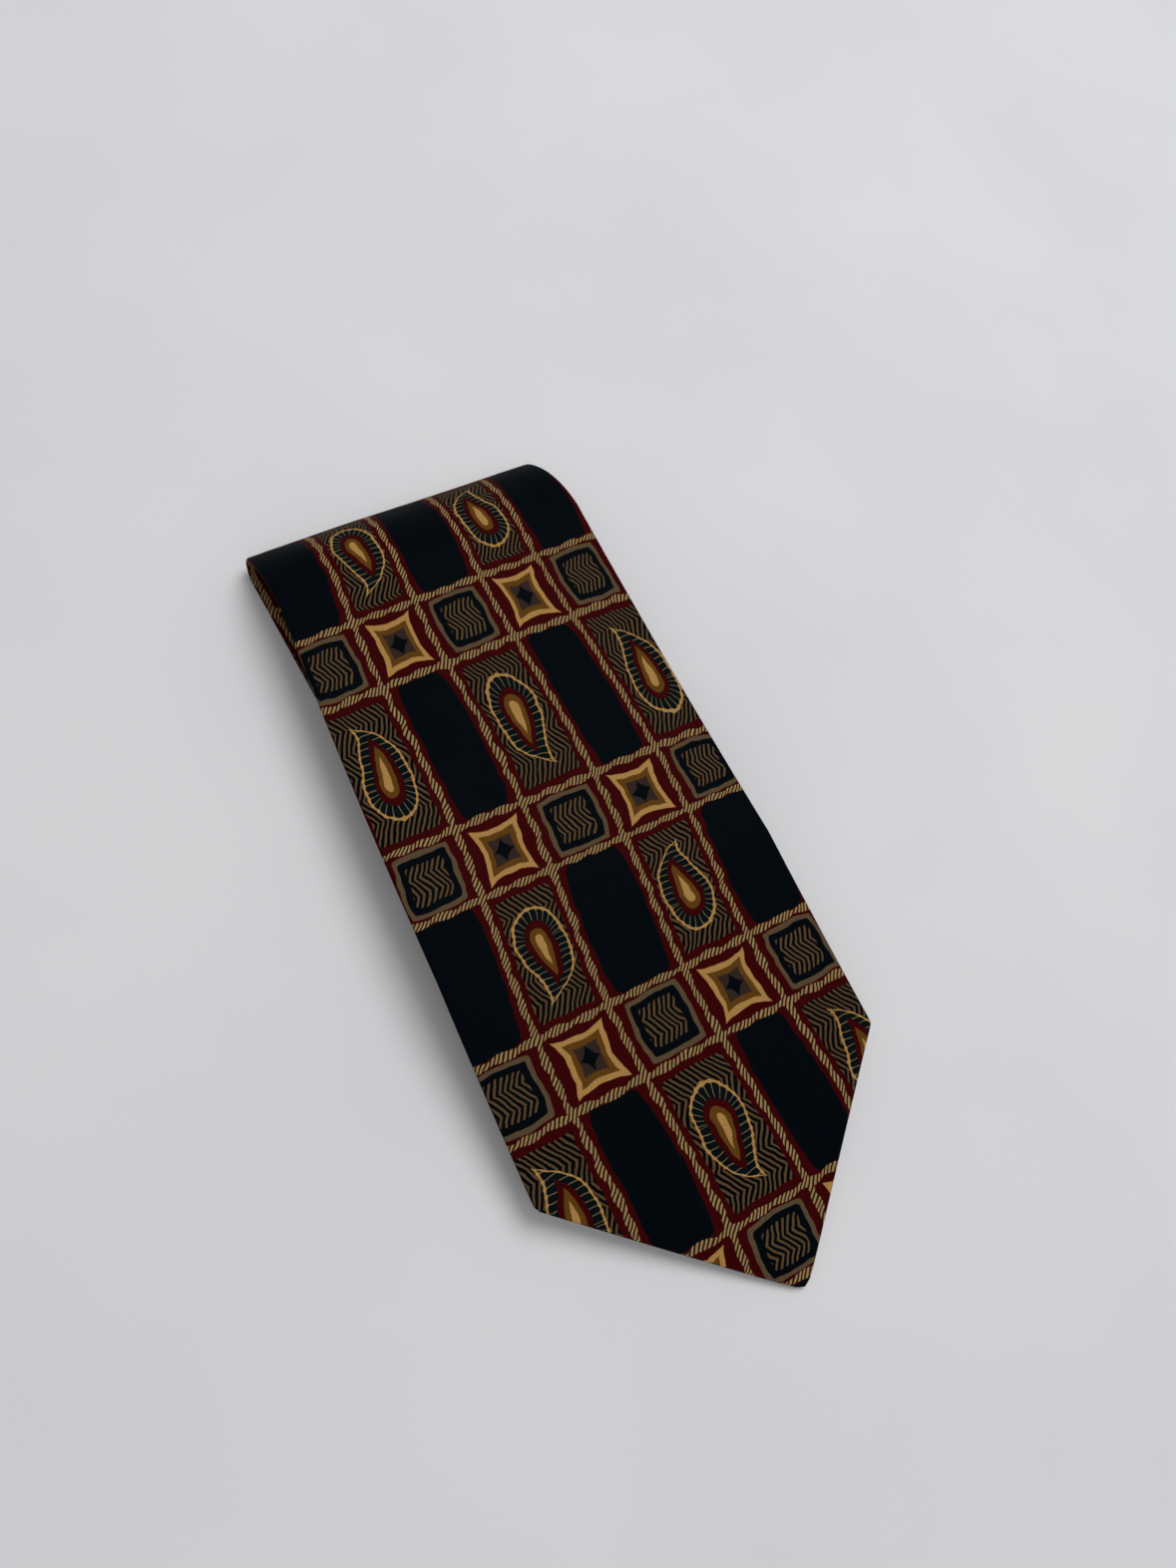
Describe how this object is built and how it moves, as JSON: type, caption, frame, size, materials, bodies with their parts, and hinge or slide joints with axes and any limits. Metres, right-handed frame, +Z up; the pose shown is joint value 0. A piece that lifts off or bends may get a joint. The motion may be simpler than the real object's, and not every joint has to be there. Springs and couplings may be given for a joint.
{
  "type": "necktie",
  "caption": "Wide printed silk necktie lying folded into a flat pack, its pointed blade on top and its layers stacked below.",
  "frame": {"origin": "middle of the footprint of the folded tie, on the surface that it lies on", "axes": "+Y along the tie from the blade's tip to the big fold, +X across the tie to the right of the blade's face, +Z up out of the blade's face"},
  "size_m": [0.0982, 0.2254, 0.0167],
  "materials": {
    "silk_print": "printed silk twill, navy, maroon and tan, soft sheen",
    "wool": "undyed brushed wool",
    "lining": "plain navy lining, slight sheen",
    "label": "blank woven label",
    "care_white": "blank white satin label",
    "thread": "dark red sewing thread"
  },
  "bodies": {
    "pack": {"silk_blade_under": "silk_print", "silk_neck": "silk_print", "silk_tail": "silk_print", "wool_under": "wool", "tipping_tail": "lining", "tack_tail": "thread", "slip_stitch_under": "thread", "hem_stitch_tail": "thread", "seam_stitch_neck": "thread", "seam_stitch_tail": "thread"},
    "roll": {"silk_blade_roll_upper": "silk_print", "silk_blade_roll_lower": "silk_print", "wool_roll_upper": "wool", "wool_roll_lower": "wool", "slip_stitch_roll": "thread"},
    "blade": {"silk_blade_main": "silk_print", "wool_main": "wool", "slip_stitch_main": "thread", "keeper_loop": "silk_print", "brand_label": "label", "care_label": "care_white"},
    "blade_end": {"silk_blade_end": "silk_print", "wool_end": "wool", "tipping_blade": "lining", "tack_blade": "thread", "hem_stitch_blade": "thread"}
  },
  "joints": [
    {"name": "blade_fold", "type": "hinge", "parent": "pack", "child": "roll", "pos_m": [0, 0.11261, 0.00226], "axis": [-1, 0, 0], "range_deg": [0, 130], "deforming": ["silk_blade_roll_lower", "wool_roll_lower", "slip_stitch_roll"]},
    {"name": "fold_shoulder", "type": "hinge", "parent": "roll", "child": "blade", "pos_m": [0, 0.10314, 0.01605], "axis": [-1, 0, 0], "range_deg": [0, 50], "deforming": ["silk_blade_roll_upper", "wool_roll_upper"]},
    {"name": "blade_end_droop", "type": "hinge", "parent": "blade", "child": "blade_end", "pos_m": [0, -0.01173, 0.01605], "axis": [-1, 0, 0], "range_deg": [0, 8.51]}
  ],
  "couplings": [
    {"joint": "fold_shoulder", "follows": "blade_fold", "ratio": 0.38461},
    {"joint": "blade_end_droop", "follows": "blade_fold", "ratio": 0.065461}
  ]
}
